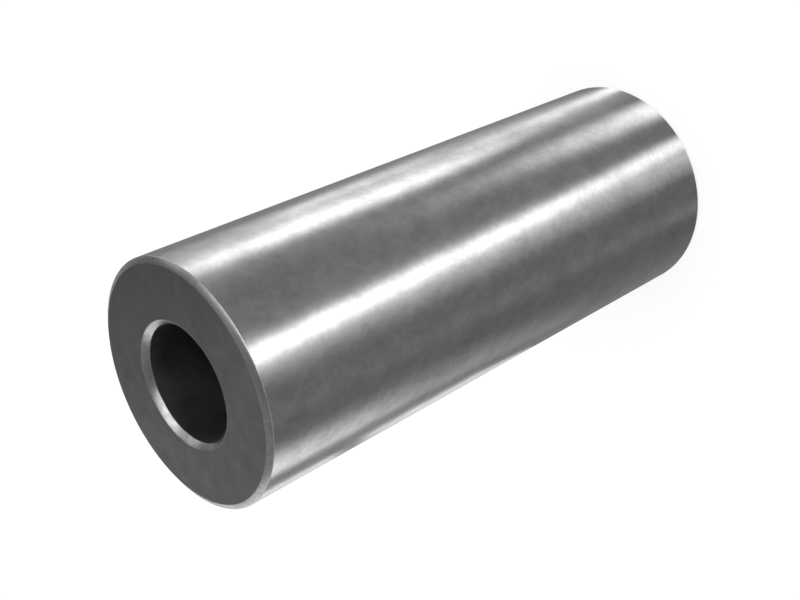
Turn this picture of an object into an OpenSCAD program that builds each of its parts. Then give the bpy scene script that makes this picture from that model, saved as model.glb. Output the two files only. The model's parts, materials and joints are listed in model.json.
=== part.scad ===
// Piston pin (gudgeon pin) of a small diesel engine: one thick-walled steel tube, turned, hardened and
// ground, that hinges the piston to the small end of the connecting rod.
// It stands on one end face. The axis is Z and the origin is the centre of the lower end face.

/* [Pin] */
// Outside diameter of the ground bearing surface
outside_diameter = 30; // [24:0.1:45]
// Overall length between the two end faces
pin_length = 78.5; // [40:0.5:120]
// Diameter of the straight bore that lightens the pin
bore_diameter = 14.2; // [6:0.1:18]

/* [Rim chamfer] */
// Radial width of the chamfer round the outside rim
rim_chamfer_width = 0.75; // [0.4:0.05:1.2]
// Slope of the rim chamfer, measured from the end face
rim_chamfer_angle = 30; // [15:1:60]

/* [Bore chamfer] */
// Radial width of the chamfer at the mouth of the bore
bore_chamfer_width = 0.7; // [0.4:0.05:1.2]
// Slope of the bore chamfer, measured from the end face
bore_chamfer_angle = 45; // [15:1:60]

/* [Edges] */
// Radius that breaks each turned corner
edge_radius = 0.15; // [0.05:0.01:0.4]

/* [Hidden] */

outer_r = outside_diameter / 2;
bore_r = bore_diameter / 2;
rim_r = outer_r - rim_chamfer_width;
mouth_r = bore_r + bore_chamfer_width;
rim_chamfer_depth = rim_chamfer_width * tan(rim_chamfer_angle);
bore_chamfer_depth = bore_chamfer_width * tan(bore_chamfer_angle);

// Largest turn in degrees between two neighbouring points on the arc of a broken corner
arc_step = 12;
turned_segments = 180;
ground_steel = [0.62, 0.62, 0.63];

// Sharp corners of the wall's section as [radius, height], anticlockwise from the lower end of the bore
wall_corners = [
    [bore_r, bore_chamfer_depth],
    [mouth_r, 0],
    [rim_r, 0],
    [outer_r, rim_chamfer_depth],
    [outer_r, pin_length - rim_chamfer_depth],
    [rim_r, pin_length],
    [mouth_r, pin_length],
    [bore_r, pin_length - bore_chamfer_depth]
];

function unit(v) = v / norm(v);
function heading(v) = atan2(v[1], v[0]);
function cyclic(list, i) = list[(i + len(list)) % len(list)];

// Points of the arc that replaces one corner and is tangent to both of its sides
function broken_corner(before, corner, after) =
    let (
        to_before = unit(before - corner),
        to_after = unit(after - corner),
        half_angle = acos(to_before * to_after) / 2,
        inward = unit(to_before + to_after),
        arc_centre = corner + inward * edge_radius / sin(half_angle),
        turn = 180 - 2 * half_angle,
        first = heading(-inward) - turn / 2,
        steps = ceil(turn / arc_step)
    )
    [
        for (k = [0 : steps])
            let (a = first + turn * k / steps)
            arc_centre + edge_radius * [cos(a), sin(a)]
    ];

// Section of the wall on one side of the axis, with every corner broken
module wall_section() {
    polygon([
        for (i = [0 : len(wall_corners) - 1])
            each broken_corner(cyclic(wall_corners, i - 1), wall_corners[i], cyclic(wall_corners, i + 1))
    ]);
}

// The whole pin: its wall section turned about the axis
module piston_pin() {
    color(ground_steel)
        rotate_extrude($fn = turned_segments) wall_section();
}

piston_pin();
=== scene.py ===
# %% [markdown]
# # A piston pin in ground steel
#
# A piston pin is a short thick-walled tube that hinges a piston to its connecting rod. It has almost no
# features, so the picture rests on two things: corners that are round at a very small scale, and the way
# ground steel mirrors the studio round it. The sizes could all be typed in again here, but then the render
# and the imported part might drift apart. So the imported part is loaded first, and its diameter, bore and
# length are read from it.

import json
import math
from collections import namedtuple

import bmesh
import bpy
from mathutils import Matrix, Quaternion, Vector


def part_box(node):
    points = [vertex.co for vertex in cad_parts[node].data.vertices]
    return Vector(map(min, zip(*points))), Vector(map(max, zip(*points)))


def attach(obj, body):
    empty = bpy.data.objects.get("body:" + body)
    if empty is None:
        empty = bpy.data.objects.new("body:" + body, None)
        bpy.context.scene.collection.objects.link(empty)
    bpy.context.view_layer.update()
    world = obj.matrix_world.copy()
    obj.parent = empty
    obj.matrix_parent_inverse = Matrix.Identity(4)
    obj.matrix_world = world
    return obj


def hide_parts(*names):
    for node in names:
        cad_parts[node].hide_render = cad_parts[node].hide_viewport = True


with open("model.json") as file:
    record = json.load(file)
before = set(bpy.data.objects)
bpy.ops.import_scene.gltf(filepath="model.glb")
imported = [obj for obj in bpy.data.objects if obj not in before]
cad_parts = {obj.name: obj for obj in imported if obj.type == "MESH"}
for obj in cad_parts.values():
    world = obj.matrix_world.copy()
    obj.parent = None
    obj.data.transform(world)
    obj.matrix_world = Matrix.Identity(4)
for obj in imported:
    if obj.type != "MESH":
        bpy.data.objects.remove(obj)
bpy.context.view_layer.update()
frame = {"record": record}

MM = 0.001
mount_sizes = {mount["name"]: mount["dims"] for mount in frame["record"]["mounts"]}
pin_radius = mount_sizes["bearing_surface"]["r_mm"] * MM
bore_radius = mount_sizes["bore"]["r_mm"] * MM
pin_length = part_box("piston_pin")[1].z
print(f"pin {2 * pin_radius / MM:.1f} x {pin_length / MM:.1f} mm, bore {2 * bore_radius / MM:.1f} mm")

# %% [markdown]
# ## The section of the wall
#
# A lathe makes this shape by turning the bar against a tool, and Blender's spin does the same, so only the
# section of the wall on one side of the axis is drawn. A cylinder with a hole cut through it would come
# close, but its chamfers would have to be cut as well. Here they are just corners of the section: a shallow
# chamfer on the outside rim, which leads the pin into the piston, and a steeper one at the mouth of the bore,
# left by the countersink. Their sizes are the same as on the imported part. The lower end is drawn, and the
# upper end is its mirror image.

# %% Draw the section
rim_chamfer_width = 0.75 * MM
rim_chamfer_slope = math.radians(30)
bore_chamfer_width = 0.7 * MM
bore_chamfer_slope = math.radians(45)

rim_drop = rim_chamfer_width * math.tan(rim_chamfer_slope)
bore_drop = bore_chamfer_width * math.tan(bore_chamfer_slope)
rim_radius = pin_radius - rim_chamfer_width
mouth_radius = bore_radius + bore_chamfer_width

# each corner is a distance from the axis and a height
lower_half = [
    (bore_radius, bore_drop),
    (mouth_radius, 0),
    (rim_radius, 0),
    (pin_radius, rim_drop),
]
upper_half = [(radius, pin_length - height) for radius, height in reversed(lower_half)]
wall_section = lower_half + upper_half
print(f"section with {len(wall_section)} corners, wall {(pin_radius - bore_radius) / MM:.2f} mm")

# %% [markdown]
# ## Turning the section into a pin
#
# The corners are joined into a closed loop and spun a full turn about Z. More steps make a rounder pin and a
# heavier mesh: a step of two degrees keeps the outline within 0.003 mm of a true circle. The last step of a
# full spin lands on the first one, so the two are merged. The normals are recalculated afterwards, because a
# spin can leave a shape inside out.

# %% Spin the section
turning_steps = 180
merge_distance = 0.001 * MM
axis = Vector((0, 0, 1))

pin_mesh = bmesh.new()
corners = [pin_mesh.verts.new((radius, 0, height)) for radius, height in wall_section]
sides = [pin_mesh.edges.new(pair) for pair in zip(corners, corners[1:] + corners[:1])]
bmesh.ops.spin(
    pin_mesh,
    geom=corners + sides,
    cent=(0, 0, 0),
    axis=axis,
    angle=math.tau,
    steps=turning_steps,
    use_merge=True,
)
bmesh.ops.remove_doubles(pin_mesh, verts=pin_mesh.verts, dist=merge_distance)
bmesh.ops.recalc_face_normals(pin_mesh, faces=pin_mesh.faces)
print(f"turned {len(pin_mesh.faces)} faces")

# %% [markdown]
# ## Breaking the corners
#
# No turned corner is perfectly sharp: tumbling and handling leave a radius of a tenth of a millimetre or so.
# It is tiny, but it catches a thin line of light at every edge, and a render without it looks like a drawing.
# A Bevel modifier with one width for all edges could do it. But a true radius starts further from a corner
# the sharper the corner is, so here each kind of corner gets its own offset.

# %% Bevel each ring of corner edges
corner_radius = 0.15 * MM
corner_segments = 3
angle_tolerance = 0.02


def is_ring_edge(edge):
    """True for an edge that runs round the axis."""
    first, second = edge.verts
    same_height = abs(first.co.z - second.co.z) < merge_distance
    same_radius = abs(first.co.xy.length - second.co.xy.length) < merge_distance
    return same_height and same_radius


def break_corners(turn):
    """Round every ring of edges at which the surface turns by this angle."""
    ring_edges = [edge for edge in pin_mesh.edges if is_ring_edge(edge)]
    chosen = [edge for edge in ring_edges if abs(edge.calc_face_angle() - turn) < angle_tolerance]
    bmesh.ops.bevel(
        pin_mesh,
        geom=chosen,
        offset=corner_radius * math.tan(turn / 2),
        offset_type="OFFSET",
        affect="EDGES",
        segments=corner_segments,
        profile=0.5,
        material=-1,
    )
    return len(chosen) // turning_steps


for corner_turn in (math.pi / 2 - rim_chamfer_slope, bore_chamfer_slope, rim_chamfer_slope):
    print(f"broke {break_corners(corner_turn)} rings that turn {math.degrees(corner_turn):.0f} degrees")

# %% [markdown]
# ## Zones of the surface
#
# Four operations leave four different surfaces: the outside is ground, the ends are faced, the chamfers are
# cut with a form tool, and the bore stays as it was drawn. The faces could be sorted before the corners are
# broken, because a bevel hands its new faces the slot of a neighbour. But in the middle of a rounded corner
# it is left to chance which neighbour that is. So they are sorted now, by where each face's normal points,
# and the zone's number becomes the face's material slot.

# %% Sort the faces into zones
GROUND, FACED, CHAMFERED, DRAWN = range(4)
square_to_axis = 0.98
leaning = 0.25


def zone_of(face):
    """The zone of a face, from how far its normal leans along the axis and away from it."""
    outward = face.calc_center_median()
    outward.z = 0
    lean = abs(face.normal.z)
    if lean > square_to_axis:
        return FACED
    if lean > leaning:
        return CHAMFERED
    return GROUND if face.normal.dot(outward) > 0 else DRAWN


pin_mesh.normal_update()
for face in pin_mesh.faces:
    face.material_index = zone_of(face)
    face.smooth = True
face_zones = [face.material_index for face in pin_mesh.faces]
print("faces in each zone:", [face_zones.count(zone) for zone in (GROUND, FACED, CHAMFERED, DRAWN)])

# %% [markdown]
# ## The finished mesh
#
# The long flat faces and the tiny rounded ones meet along shared vertices. With plain smooth shading the tiny
# faces would tilt the normals of the long ones, and the streaks would bend near the ends. Extra rings of
# edges could hold the shading. A Weighted Normal modifier does it without one new face, because it gives the
# large faces the last word. The pin then stands for the imported node and rides on its body.

# %% Make the object
largest_face_wins = 100

pin_data = bpy.data.meshes.new("ground_piston_pin")
pin_mesh.to_mesh(pin_data)
pin_mesh.free()
pin = bpy.data.objects.new("ground_piston_pin", pin_data)
bpy.context.scene.collection.objects.link(pin)
weighting = pin.modifiers.new("true_normals", "WEIGHTED_NORMAL")
weighting.mode = "FACE_AREA"
weighting.weight = largest_face_wins

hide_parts("piston_pin")
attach(pin, "root")
print(f"{pin.name}: {len(pin_data.vertices)} vertices, {len(pin_data.polygons)} faces")

# %% [markdown]
# ## Patterns fixed to the pin
#
# The mottling, the turning rings and the drawing lines on real steel are all irregular, so all of them are
# made from noise. A picture wrapped round the pin could carry them too, but it has seams and only one
# sharpness. Noise on Object coordinates has neither, and it stays fixed to the pin. The coordinates are in
# metres, so the noise's scale is one over the size of its patches. A Mapping node squeezes the pattern: a
# small scale along an axis draws the patches out into lines along it.

# %% Helpers for patterns


def on_the_pin(tree, squeeze=(1, 1, 1)):
    """Object coordinates, squeezed along some axes."""
    place = tree.nodes.new("ShaderNodeTexCoord")
    mapping = tree.nodes.new("ShaderNodeMapping")
    mapping.inputs["Scale"].default_value = squeeze
    tree.links.new(place.outputs["Object"], mapping.inputs["Vector"])
    return mapping.outputs["Vector"]


def cloud(tree, where, size, detail, roughness=0.5, distortion=0):
    """Noise whose patches are about this size."""
    noise = tree.nodes.new("ShaderNodeTexNoise")
    noise.inputs["Scale"].default_value = 1 / size
    noise.inputs["Detail"].default_value = detail
    noise.inputs["Roughness"].default_value = roughness
    noise.inputs["Distortion"].default_value = distortion
    tree.links.new(where, noise.inputs["Vector"])
    return noise.outputs["Fac"]


print("pattern helpers:", on_the_pin.__name__, cloud.__name__)

# %% [markdown]
# ## From a pattern to a value
#
# On real steel the grey and the roughness vary between narrow limits, but noise gives a number from 0 to 1
# and seldom comes near either end. A colour ramp could set the limits by eye. A Map Range node takes them as
# numbers, and spreads the usual range of the noise between them. A Math node then puts two patterns together.

# %% Helpers for values
noise_low = 0.3
noise_high = 0.7


def spread(tree, noise, low, high):
    """The usual range of the noise, spread over low to high."""
    span = tree.nodes.new("ShaderNodeMapRange")
    span.inputs["From Min"].default_value = noise_low
    span.inputs["From Max"].default_value = noise_high
    span.inputs["To Min"].default_value = low
    span.inputs["To Max"].default_value = high
    tree.links.new(noise, span.inputs["Value"])
    return span.outputs["Result"]


def combine(tree, operation, first, second):
    """A sum, product or other operation on two values."""
    maths = tree.nodes.new("ShaderNodeMath")
    maths.operation = operation
    for socket, value in zip(maths.inputs, (first, second)):
        if isinstance(value, (int, float)):
            socket.default_value = value
        else:
            tree.links.new(value, socket)
    return maths.outputs["Value"]


print(f"noise from {noise_low} to {noise_high} is spread over the limits of a finish")

# %% [markdown]
# ## One steel, four finishes
#
# The whole pin is one steel, and its zones differ in how the surface scatters light, and in grey: the darker
# grey of the ends and of the bore is partly painted shade. One material with masks could hold all four, but four
# small ones are easier to read and to change. Each starts as a plain metallic shader in the pin's next material
# slot, so they are made in the order of the zones' numbers. The patterns then drive three things: how grey the
# steel is, how rough it is, and a relief of a few micrometres.

# %% Helpers for steel


def start_steel(name):
    """A new metallic material in the pin's next slot, as its node tree and its shader."""
    finish = bpy.data.materials.new(name)
    finish.use_nodes = True
    shader = finish.node_tree.nodes["Principled BSDF"]
    shader.inputs["Metallic"].default_value = 1
    pin_data.materials.append(finish)
    return finish.node_tree, shader


def grey(tree, shader, value):
    """Feed a single value to the base colour, as neutral grey."""
    colour = tree.nodes.new("ShaderNodeCombineColor")
    for channel in ("Red", "Green", "Blue"):
        tree.links.new(value, colour.inputs[channel])
    tree.links.new(colour.outputs["Color"], shader.inputs["Base Color"])


def relief(tree, shader, *layers):
    """Chain bump layers, each a height from 0 to 1 with its depth in metres."""
    normal = None
    for height, depth in layers:
        bump = tree.nodes.new("ShaderNodeBump")
        bump.inputs["Distance"].default_value = depth
        tree.links.new(height, bump.inputs["Height"])
        if normal is not None:
            tree.links.new(normal, bump.inputs["Normal"])
        normal = bump.outputs["Normal"]
    tree.links.new(normal, shader.inputs["Normal"])


def tell_last_finish():
    """Print the slot, the name and the number of nodes of the finish made last."""
    slot_number = len(pin_data.materials) - 1
    finish = pin_data.materials[slot_number]
    print(f"slot {slot_number}: {finish.name}, {len(finish.node_tree.nodes)} nodes")


print("slots before the finishes:", len(pin_data.materials))

# %% [markdown]
# ## The ground bearing surface
#
# A grinding wheel leaves lines far too fine to see, and handling leaves a thin film of oil and fingerprints
# over them. What the eye picks up is soft mottling a few millimetres across, and highlights whose edges waver
# a little. One noise could do for both, but the film is broad and the mottling fine, so there are two. They
# change the grey by up to a fifth and the roughness by far less, because the roughness sets how sharp the
# highlights are. The relief is two micrometres deep, so the highlights stay straight.

# %% Ground finish
film_size = 10 * MM
mottle_size = 3.4 * MM
mottle_squeeze = (1, 1, 0.8)
mottle_depth = 0.002 * MM

tree, shader = start_steel("ground_bearing_surface")
film = cloud(tree, on_the_pin(tree), film_size, detail=2, distortion=0.3)
mottle = cloud(tree, on_the_pin(tree, mottle_squeeze), mottle_size, detail=6, roughness=0.78)

film_roughness = spread(tree, film, low=0.225, high=0.24)
mottle_roughness = spread(tree, mottle, low=-0.008, high=0.008)
tree.links.new(combine(tree, "ADD", film_roughness, mottle_roughness), shader.inputs["Roughness"])

film_tone = spread(tree, film, low=0.465, high=0.445)
mottle_tone = spread(tree, mottle, low=0.088, high=-0.088)
grey(tree, shader, combine(tree, "ADD", film_tone, mottle_tone))
relief(tree, shader, (mottle, mottle_depth))
tell_last_finish()

# %% [markdown]
# ## The faced ends
#
# The ends are cut square on a lathe. The tool's feed leaves rings round the axis, a fraction of a millimetre
# apart, and they scatter the light enough to make the end satin. A Wave texture could draw rings, but they
# would be too even. These are noise that is read along the distance from the axis alone. Faint smudges cross
# them. The ends are also a much darker grey than the outside: the smudges vary it at random, and the lower
# level is painted shade.

# %% Faced finish
ring_spacing = 0.25 * MM
ring_depth = 0.001 * MM
smudge_size = 4 * MM
smudge_squeeze = (1, 1.3, 1)
smudge_depth = 0.002 * MM


def rings_round_the_axis(tree, spacing):
    """Noise that changes only with the distance from the axis."""
    flat = on_the_pin(tree, (1, 1, 0))
    distance = tree.nodes.new("ShaderNodeVectorMath")
    distance.operation = "LENGTH"
    tree.links.new(flat, distance.inputs[0])
    along = tree.nodes.new("ShaderNodeCombineXYZ")
    tree.links.new(distance.outputs["Value"], along.inputs["X"])
    return cloud(tree, along.outputs["Vector"], spacing, detail=2)


tree, shader = start_steel("faced_end")
rings = rings_round_the_axis(tree, ring_spacing)
smudge_place = on_the_pin(tree, smudge_squeeze)
smudges = cloud(tree, smudge_place, smudge_size, detail=6, roughness=0.66, distortion=0.6)

tree.links.new(spread(tree, smudges, low=0.3, high=0.38), shader.inputs["Roughness"])
# painted shade: the ends' grey is set well below the outside's, with random smudges on top
smudges_and_painted_shade_tone = spread(tree, smudges, low=0.36, high=0.265)
ring_tone = spread(tree, rings, low=-0.01, high=0.01)
grey(tree, shader, combine(tree, "ADD", smudges_and_painted_shade_tone, ring_tone))
relief(tree, shader, (rings, ring_depth), (smudges, smudge_depth))
tell_last_finish()

# %% [markdown]
# ## The chamfers
#
# A form tool cuts the chamfers last, so they are the brightest steel on the ends, with a little chatter round
# them. They could share the finish of the ends, but then they would be too dull. They are less than a
# millimetre wide, so one fine noise is enough: it makes them glint unevenly.

# %% Chamfer finish
chatter_size = 0.7 * MM
chatter_depth = 0.004 * MM

tree, shader = start_steel("cut_chamfer")
chatter = cloud(tree, on_the_pin(tree), chatter_size, detail=4, roughness=0.6)
tree.links.new(spread(tree, chatter, low=0.28, high=0.36), shader.inputs["Roughness"])
grey(tree, shader, spread(tree, chatter, low=0.62, high=0.46))
relief(tree, shader, (chatter, chatter_depth))
tell_last_finish()

# %% [markdown]
# ## The bore
#
# The bore is left as the tube was drawn: duller than the rest, and marked with long soft lines along the
# axis. Its grey is far darker than the outside's: partly drawn scale, and partly painted shade for the deep
# tube that little light reaches. The lines are noise stretched twenty times along Z, and patches of scale
# lie under them. The lines could be added to the dark grey. They multiply it instead, so that they stay
# faint where it is dark.

# %% Bore finish
line_size = 0.8 * MM
line_squeeze = (1, 1, 0.05)
line_depth = 0.002 * MM
scale_size = 3 * MM
scale_depth = 0.003 * MM

tree, shader = start_steel("drawn_bore_and_painted_shade")
lines = cloud(tree, on_the_pin(tree, line_squeeze), line_size, detail=4, roughness=0.6)
scale = cloud(tree, on_the_pin(tree), scale_size, detail=5, roughness=0.6)
tree.links.new(spread(tree, scale, low=0.48, high=0.56), shader.inputs["Roughness"])
# the low grey is partly drawn scale and partly painted shade inside the bore
scale_and_painted_shade_tone = spread(tree, scale, low=0.19, high=0.23)
line_tone = spread(tree, lines, low=0.94, high=1.06)
grey(tree, shader, combine(tree, "MULTIPLY", scale_and_painted_shade_tone, line_tone))
relief(tree, shader, (lines, line_depth), (scale, scale_depth))
tell_last_finish()

# %% [markdown]
# ## White paper
#
# A product photograph has a pure white background, and white paper is hard to light that evenly. Brighter
# lamps would do it, but they would also burn out the pin. So the paper is mostly its own white to the camera
# and in reflections, by way of the Light Path node. The rest of it is lit by the lamps, and keeps the pin's
# soft shadow.

# %% Paper material
paper_own_white = 0.8
paper_colour = (0.9, 0.9, 0.9, 1)


def make_paper():
    paper = bpy.data.materials.new("white_paper")
    paper.use_nodes = True
    tree = paper.node_tree
    tree.nodes.clear()
    lit = tree.nodes.new("ShaderNodeBsdfDiffuse")
    lit.inputs["Color"].default_value = paper_colour
    white = tree.nodes.new("ShaderNodeEmission")
    path = tree.nodes.new("ShaderNodeLightPath")
    seen = combine(tree, "MAXIMUM", path.outputs["Is Camera Ray"], path.outputs["Is Glossy Ray"])
    seen = combine(tree, "MAXIMUM", seen, path.outputs["Is Transmission Ray"])
    mix = tree.nodes.new("ShaderNodeMixShader")
    tree.links.new(combine(tree, "MULTIPLY", seen, paper_own_white), mix.inputs["Fac"])
    tree.links.new(lit.outputs["BSDF"], mix.inputs[1])
    tree.links.new(white.outputs["Emission"], mix.inputs[2])
    surface = tree.nodes.new("ShaderNodeOutputMaterial")
    tree.links.new(mix.outputs["Shader"], surface.inputs["Surface"])
    return paper


white_paper = make_paper()
print(f"{white_paper.name}: {len(white_paper.node_tree.nodes)} nodes")

# %% [markdown]
# ## Paper sweep
#
# A photographer stands small things on a roll of paper that curves up behind them, so that no horizon shows.
# A flat plane would show one in the low views. Here the sheet curves up into a low wall all round, so it
# works from every side. It is one spun profile, like the pin, but no part of it.

# %% Spin the paper sweep
sweep_radius = 1.6
sweep_cove = 0.2
sweep_height = 0.42
cove_steps = 8
sweep_steps = 96
sweep_merge_distance = 0.01 * MM


def stage_object(name, mesh, material):
    """Turn a bmesh into an object that belongs to the studio and not to the pin."""
    data = bpy.data.meshes.new(name)
    mesh.to_mesh(data)
    mesh.free()
    data.materials.append(material)
    made = bpy.data.objects.new(name, data)
    bpy.context.scene.collection.objects.link(made)
    return made


flat_reach = sweep_radius - sweep_cove
cove_angles = [math.pi / 2 * step / cove_steps for step in range(cove_steps + 1)]
profile = [(0, 0)]
profile += [(flat_reach + sweep_cove * math.sin(a), sweep_cove * (1 - math.cos(a))) for a in cove_angles]
profile += [(sweep_radius, sweep_height)]

sweep_mesh = bmesh.new()
points = [sweep_mesh.verts.new((reach, 0, height)) for reach, height in profile]
edges = [sweep_mesh.edges.new(pair) for pair in zip(points, points[1:])]
bmesh.ops.spin(
    sweep_mesh,
    geom=points + edges,
    cent=(0, 0, 0),
    axis=axis,
    angle=math.tau,
    steps=sweep_steps,
    use_merge=True,
)
bmesh.ops.remove_doubles(sweep_mesh, verts=sweep_mesh.verts, dist=sweep_merge_distance)
bmesh.ops.recalc_face_normals(sweep_mesh, faces=sweep_mesh.faces)
sweep = stage_object("paper_sweep", sweep_mesh, white_paper)
print(f"{sweep.name}: {len(sweep.data.polygons)} faces")

# %% [markdown]
# ## Camera
#
# The photograph looks at the upper end from about 40 degrees above, quite close, and is turned on its side,
# so the pin seems to lie. A pin that lies down rolls, so here it stands, and the camera is rolled instead. It
# is placed, aimed at a point near the middle of the pin, and then turned about its own line of sight. It
# comes before the lighting, because the lighting is laid out from what it sees.

# %% Place the camera
camera_place = Vector((0, -124.02, 144.23)) * MM
camera_aim = Vector((-1.70, 0, 45.74)) * MM
camera_roll = math.radians(-115.49)
camera_lens = 56.54
nearest_seen = 0.01

camera_data = bpy.data.cameras.new("camera")
camera_data.lens = camera_lens
camera_data.clip_start = nearest_seen
camera = bpy.data.objects.new("camera", camera_data)
bpy.context.scene.collection.objects.link(camera)
camera.location = camera_place
camera.rotation_mode = "QUATERNION"
level = (camera_aim - camera_place).to_track_quat("-Z", "Y")
camera.rotation_quaternion = level @ Quaternion((0, 0, 1), camera_roll)
bpy.context.scene.camera = camera
print(f"camera {(camera_aim - camera_place).length / MM:.0f} mm from its aim")

# %% [markdown]
# ## Grey mat
#
# Polished metal has no look of its own: it shows the studio. Seen from above, the upright wall of the pin
# mirrors only the table round it, so on bare white paper it would come out as a flat pale tube. A grey mat
# under everything else gives its sides and back an even mid grey. Grey paper could do that, but then the
# floor would be grey as well. So the mat and all the cards show in reflections only. They share one material,
# which glows as much as an attribute on the vertices says.

# %% Lay the mat
card_gap = 0.05 * MM
mat_reach = 0.7
mat_glow = 0.42
mat_corners = 96


def make_card_material():
    material = bpy.data.materials.new("studio_card")
    material.use_nodes = True
    tree = material.node_tree
    tree.nodes.clear()
    glow = tree.nodes.new("ShaderNodeAttribute")
    glow.attribute_name = "glow"
    light = tree.nodes.new("ShaderNodeEmission")
    tree.links.new(glow.outputs["Fac"], light.inputs["Strength"])
    surface = tree.nodes.new("ShaderNodeOutputMaterial")
    tree.links.new(light.outputs["Emission"], surface.inputs["Surface"])
    return material


studio_card = make_card_material()


def reflected_card(name, mesh):
    """A card on the stage that only reflections show."""
    card = stage_object(name, mesh, studio_card)
    card.visible_camera = False
    card.visible_diffuse = False
    card.visible_transmission = False
    card.visible_shadow = False
    return card


def glow_evenly(mesh, brightness):
    """Give every vertex the same glow."""
    glow = mesh.verts.layers.float.new("glow")
    for vertex in mesh.verts:
        vertex[glow] = brightness


mat_mesh = bmesh.new()
bmesh.ops.create_circle(mat_mesh, cap_ends=True, segments=mat_corners, radius=mat_reach)
bmesh.ops.translate(mat_mesh, verts=mat_mesh.verts, vec=axis * card_gap / 2)
glow_evenly(mat_mesh, mat_glow)
mat = reflected_card("grey_mat", mat_mesh)
print(f"{mat.name}: {2 * mat_reach:.1f} m across, glow {mat_glow}")

# %% [markdown]
# ## Where a card has to lie
#
# A streak on the pin is the mirror image of a strip of light on the table. Strips laid straight out from the
# pin would show as curved streaks, so their place is worked out backwards: the line of sight is followed to a
# point of the wall, mirrored there, and followed on to the table. A point of the wall is named by its turn
# round the axis in degrees, with 0 facing the camera, and by its height in millimetres.

# %% Follow a line of sight
example_heights = (10, 40, 70)


def mirrored_on_table(eye, turn, height):
    """Where the line of sight to one point of the wall lands on the table."""
    bearing = math.radians(turn)
    outward = Vector((math.sin(bearing), -math.cos(bearing), 0))
    point = outward * pin_radius + axis * height * MM
    onward = (point - eye).reflect(outward)
    return point - onward * (point.z / onward.z)


for height in example_heights:
    reach = mirrored_on_table(camera_place, 0, height).length
    print(f"a point {height} mm up the front mirrors the table {reach / MM:.0f} mm from the axis")

# %% [markdown]
# ## How a card is laid
#
# A card could be a flat sheet, bent until its reflection looks right. Here it is a small grid, and every
# vertex is moved to where its own point of the wall is mirrored, so the reflection is right from the start. A
# card reaches from a low end to a high end of the wall. Each end gives a height, the turns of its two edges
# and the glow at them. A strip of light also has a core in the middle, and fades from it to its edges. The
# cards lie in layers a hair apart, so that a strip covers the card under it.

# %% Helpers for cards
card_steps = 12
End = namedtuple("End", "height turns glow core", defaults=[None])


def between(low, high, share):
    """The value at this share of the way from low to high."""
    return low + (high - low) * share


def lay_card(name, layer, low, high, eye=camera_place):
    """Lay a card that the wall shows between a low and a high end, seen from this eye."""
    mesh = bmesh.new()
    bmesh.ops.create_grid(mesh, x_segments=card_steps, y_segments=card_steps, size=1)
    glow = mesh.verts.layers.float.new("glow")
    for vertex in mesh.verts:
        across = (vertex.co.x + 1) / 2
        up = (vertex.co.y + 1) / 2
        turn = between(between(*low.turns, across), between(*high.turns, across), up)
        edge_glow = between(between(*low.glow, across), between(*high.glow, across), up)
        vertex[glow] = edge_glow
        if low.core is not None:
            core_glow = between(low.core, high.core, up)
            vertex[glow] = between(edge_glow, core_glow, math.sin(math.pi * across) ** 2)
        height = between(low.height, high.height, up)
        vertex.co = mirrored_on_table(eye, turn, height) + axis * card_gap * layer
    return reflected_card(name, mesh)


def lay_cards(title, rows):
    """Lay the cards of a table whose rows hold a name, a layer, a low end and a high end."""
    cards = [lay_card(*row) for row in rows]
    print(f"{title}:", ", ".join(card.name for card in cards))


print(f"half way between 2 and 6 is {between(2, 6, 0.5)}")

# %% [markdown]
# ## Dark cards
#
# A photographer lays dark card beside polished metal, so that it shows depth and not only light. One dark
# sheet all round could do, but the photograph is a little darker on the left than on the right. So there are
# three cards, and the glow changes slowly across them. They run on past the upper end of the pin, so that
# their far edges stay out of sight.

# %% Lay the dark cards
past_top = 122

dark_cards = [
    ("left_back_card", 1, End(0, (-84, -44), (0.3, 0.21)), End(past_top, (-84, -44), (0.42, 0.21))),
    ("left_card", 1, End(0, (-44, 0), (0.2, 0.25)), End(past_top, (-44, 0), (0.2, 0.25))),
    ("right_card", 1, End(0, (0, 83.5), (0.3, 0.265)), End(past_top, (0, 83.5), (0.3, 0.265))),
]
lay_cards("dark cards", dark_cards)

# %% [markdown]
# ## The front streak
#
# The brightest streak runs the whole length of the pin, and leans a little to the left on its way up. A strip
# with hard edges would look like tape, so a strip is brightest at its core and falls off towards its edges. A
# softer shoulder lies under its left side, where the real streak fades more slowly. The streak narrows and
# leans faster near the foot, so it is made of two strips that meet end to end.

# %% Front strips
front_strips = [
    ("front_shoulder", 2, End(0, (-12.5, 2), (0.29, 1.3)), End(past_top, (-15, -6), (0.2, 0.65))),
    ("front_low_strip", 3, End(0, (-1.2, 11.6), (0.95, 0.36), 2.1), End(24, (-2.8, 8.4), (0.9, 0.34), 2.75)),
    ("front_strip", 3, End(24, (-2.8, 8.4), (0.9, 0.34), 2.75), End(past_top, (-9.3, 1.4), (0.7, 0.28), 5.9)),
]
lay_cards("front strips", front_strips)

# %% [markdown]
# ## The right streak
#
# On the right a second streak begins about a quarter of the way up and runs to the upper end. One long strip
# could make it, but its brightness rises and then falls on the way, so three strips meet end to end. A broad
# bright shoulder with a strip of its own lies on the outer side, and a faint one on the inner side. The
# lowest strip lies a layer higher, because a strip at the foot of the pin reaches under it.

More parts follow.
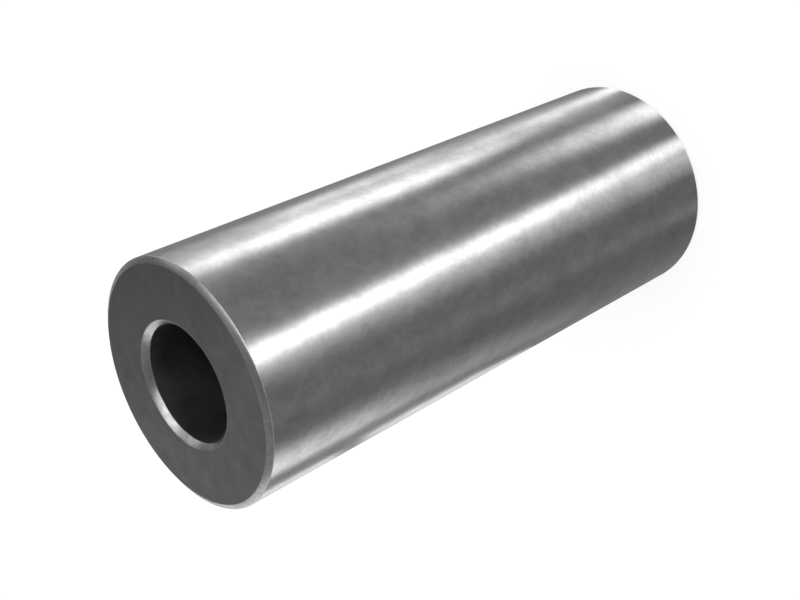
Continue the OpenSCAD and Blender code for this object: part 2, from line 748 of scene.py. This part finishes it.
# %% Right strips
right_strips = [
    ("right_shoulder", 2, End(32, (48, 64), (1.1, 0.6)), End(70, (48, 65), (1.4, 0.6))),
    ("right_far_shoulder", 2, End(70, (48, 65), (1.0, 0.5)), End(past_top, (50, 66), (0.7, 0.5))),
    ("right_inner_shoulder", 2, End(50, (28, 40), (0.29, 0.33)), End(past_top, (26, 40), (0.29, 0.6))),
    ("right_low_strip", 4, End(22, (41, 51), (0.3, 0.7), 0.9), End(40, (37.5, 51.5), (0.3, 1.2), 2.6)),
    ("right_strip", 3, End(40, (37.5, 51.5), (0.3, 1.2), 2.8), End(70, (38, 51.5), (0.3, 1.3), 3.5)),
    ("right_far_strip", 3, End(70, (38, 51.5), (0.3, 1.0), 2.8), End(past_top, (42, 55), (0.3, 0.7), 1.0)),
    ("right_back_strip", 3, End(38, (53, 64), (0.9, 0.5), 1.25), End(62, (54, 64), (0.9, 0.5), 2.1)),
]
lay_cards("right strips", right_strips)

# %% [markdown]
# ## The left streaks
#
# The left side is darker. A faint strip runs along its middle, a stronger one fades in towards the top,
# and a thin bright line runs close to the outline, in three lengths. Strips with a core could make all of
# them, but most of these streaks are brightest at one edge, so most of the strips have no core.

# %% Left strips
left_strips = [
    (
        "left_faint_strip",
        2,
        End(0, (-37.5, -22.5), (0.21, 0.22), 0.31),
        End(past_top, (-30, -16), (0.17, 0.23), 0.27),
    ),
    ("left_shoulder", 1.5, End(40, (-46, -38.5), (0.28, 0.2)), End(90, (-45.5, -38), (0.6, 0.18))),
    ("left_low_strip", 2, End(24, (-64, -47), (0.34, 0.22)), End(56, (-57, -45), (0.7, 0.36))),
    ("left_strip", 2, End(56, (-57, -45), (0.65, 0.36)), End(90, (-56, -44), (2.8, 1.3))),
    ("left_back_low_strip", 2, End(32, (-84, -75), (0.1, 1.2)), End(44, (-84, -68), (0.1, 1.5))),
    ("left_back_strip", 2, End(44, (-84, -68), (0.1, 1.6)), End(63, (-84, -67), (0.1, 1.7))),
    ("left_back_far_strip", 2, End(67, (-84, -69), (0.1, 1.7)), End(95, (-84, -67), (0.1, 1.7))),
]
lay_cards("left strips", left_strips)

# %% [markdown]
# ## The streaks at the foot
#
# Near the lower end two more streaks come in on the right, brightest at the foot. The strips above could have
# been drawn out to make them, but those grow brighter on their way up, and these fade. The inner one is faint
# by half way up. The outer one has a shoulder on both sides, and ends where the right streak takes over.

# %% Foot strips
foot_strips = [
    ("low_right_strip", 3, End(0, (18.7, 40.8), (0.3, 0.3), 2.2), End(34, (20.5, 37), (0.3, 0.3), 0.78)),
    ("low_right_tail", 3, End(34, (20.5, 37), (0.3, 0.3), 0.78), End(56, (18, 37), (0.3, 0.3), 0.34)),
    ("low_back_strip", 3, End(0, (49, 64), (0.5, 0.45), 2.05), End(34, (42.5, 61), (0.9, 0.6), 1.32)),
    ("low_inner_shoulder", 2, End(0, (40, 52), (0.33, 0.6)), End(22, (39, 51), (0.34, 1.0))),
    ("low_outer_shoulder", 1.5, End(0, (60, 69), (0.52, 0.27)), End(44, (58, 69), (0.95, 0.27))),
]
lay_cards("foot strips", foot_strips)

# %% [markdown]
# ## A strip for the back
#
# The photograph says nothing about the back of the pin, and the mat alone would leave it flat. All the strips
# could be laid again for the back, but one is enough to show that it is polished and round: a straight strip
# behind the pin, laid for an eye opposite the camera.

# %% Back strip
back_eye = Vector((-camera_place.x, -camera_place.y, camera_place.z))
back_strip = lay_card(
    "back_strip",
    3,
    End(0, (175, 185), (mat_glow, mat_glow), 1.8),
    End(past_top, (175, 185), (mat_glow, mat_glow), 3),
    eye=back_eye,
)
print(f"{back_strip.name} laid for an eye at {[round(c / MM) for c in back_eye]} mm")

# %% [markdown]
# ## Lamps
#
# The upper end and its chamfers mirror the lamps, so their brightness in the photograph tells where the lamps
# belong. A wide softbox hangs high at the front right, a smaller one stands low at the back left, and a dim
# one stands at the right. Three faint fills, at the back, above and at the left, lift what these leave dark.
# A low lamp near the camera shines into the bore. A broad lamp overhead lights the paper and gives the soft
# shadow. Brighter softboxes could light the paper too, but they would burn out the pin. For the same reason
# the overhead lamp is kept out of the reflections.

# %% Hang the lamps
lamp_distance = 0.7


def hang_lamp(name, bearing, elevation, width, height, brightness, distance=lamp_distance):
    """A lamp aimed at the pin. A bearing of 0 is over the camera, and positive ones go towards +X."""
    lamp_data = bpy.data.lights.new(name, "AREA")
    lamp_data.shape = "RECTANGLE"
    lamp_data.size = width
    lamp_data.size_y = height
    lamp_data.energy = brightness * math.pi * width * height
    lamp = bpy.data.objects.new(name, lamp_data)
    bpy.context.scene.collection.objects.link(lamp)
    turn = math.radians(bearing - 90)
    lift = math.radians(elevation)
    away = Vector((math.cos(turn) * math.cos(lift), math.sin(turn) * math.cos(lift), math.sin(lift)))
    lamp.location = away * distance + axis * pin_length / 2
    lamp.rotation_mode = "QUATERNION"
    lamp.rotation_quaternion = away.to_track_quat("Z", "Y")
    return lamp


lamps = [
    hang_lamp("front_softbox", bearing=40, elevation=57, width=0.74, height=0.3, brightness=1.7),
    hang_lamp("bore_lamp", bearing=12, elevation=33, width=0.22, height=0.14, brightness=6),
    hang_lamp("back_softbox", bearing=-130, elevation=22, width=0.34, height=0.28, brightness=0.9),
    hang_lamp("right_softbox", bearing=107, elevation=32, width=0.34, height=0.3, brightness=0.7),
    hang_lamp("back_fill", bearing=-161, elevation=30, width=0.46, height=0.36, brightness=0.17),
    hang_lamp("top_fill", bearing=180, elevation=68, width=0.5, height=0.36, brightness=0.2),
    hang_lamp("left_fill", bearing=-108, elevation=54, width=0.5, height=0.4, brightness=0.12),
]
overhead = hang_lamp(
    "overhead_lamp",
    bearing=0,
    elevation=88,
    width=2.2,
    height=2.2,
    brightness=4.9,
    distance=2.5,
)
overhead.visible_glossy = False
print("lamps:", ", ".join(lamp.name for lamp in lamps + [overhead]))

# %% [markdown]
# ## A flag and the room
#
# A flag is a dark card on a stand, and it keeps light away from one side. This one stands at the back right,
# where the rim is dark in the photograph. A flat card could stand there, but one that bends round the pin is
# at the same distance everywhere, so it is an upright edge, spun part of a turn. The room itself is a dim
# plain grey, and the Standard view shows every colour as it is written.

# %% Stand the flag and grey the room
room_grey = 0.12
flag_steps = 24


def stand_card(name, bearing_from, bearing_to, distance, height, brightness):
    """A card that stands on the table and bends round the pin."""
    mesh = bmesh.new()
    turn = math.radians(bearing_from)
    foot = Vector((math.sin(turn), -math.cos(turn), 0)) * distance
    ends = [mesh.verts.new(foot), mesh.verts.new(foot + axis * height)]
    edge = mesh.edges.new(ends)
    sweep_angle = math.radians(bearing_to - bearing_from)
    bmesh.ops.spin(mesh, geom=ends + [edge], cent=(0, 0, 0), axis=axis, angle=sweep_angle, steps=flag_steps)
    glow_evenly(mesh, brightness)
    return reflected_card(name, mesh)


flag = stand_card(
    "right_back_flag",
    bearing_from=125,
    bearing_to=168,
    distance=1.0,
    height=0.33,
    brightness=0.28,
)
room = bpy.data.worlds.new("studio_room")
room.use_nodes = True
room.node_tree.nodes["Background"].inputs["Color"].default_value = (room_grey, room_grey, room_grey, 1)
bpy.context.scene.world = room
bpy.context.scene.view_settings.view_transform = "Standard"
print(f"{flag.name}: {len(flag.data.polygons)} faces; {room.name}: grey {room_grey}")
